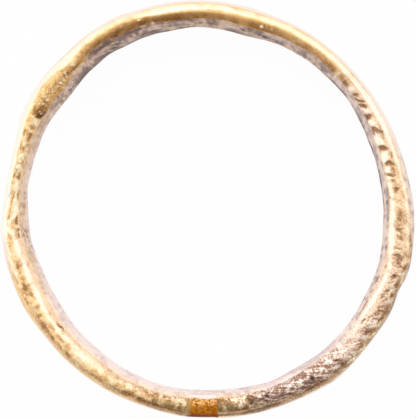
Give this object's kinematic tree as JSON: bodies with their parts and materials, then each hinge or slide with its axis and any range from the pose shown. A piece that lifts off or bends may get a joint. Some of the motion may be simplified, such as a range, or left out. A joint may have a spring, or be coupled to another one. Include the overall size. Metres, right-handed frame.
{
  "type": "finger ring",
  "caption": "Plain hammered finger ring of golden copper alloy, a bar of rounded section bent round a slightly oval hole and closed by a flush coppery brazed joint.",
  "frame": {"origin": "on the axis of the finger hole, at the plane that the back edge rests on", "axes": "+Z along the finger hole, from the back edge to the front edge that the picture shows; +X and +Y are right and up in the picture, so the brazed joint is near -Y"},
  "size_m": [0.0214, 0.0217, 0.0035],
  "materials": {
    "hammered_bronze": "worn golden polish over hammer marks and casting pits, with grey tarnish inside the hole",
    "coppery_filler": "dull orange-brown, filed flush"
  },
  "bodies": {
    "root": {"hoop": "hammered_bronze", "joint_braze": "coppery_filler"}
  },
  "joints": []
}
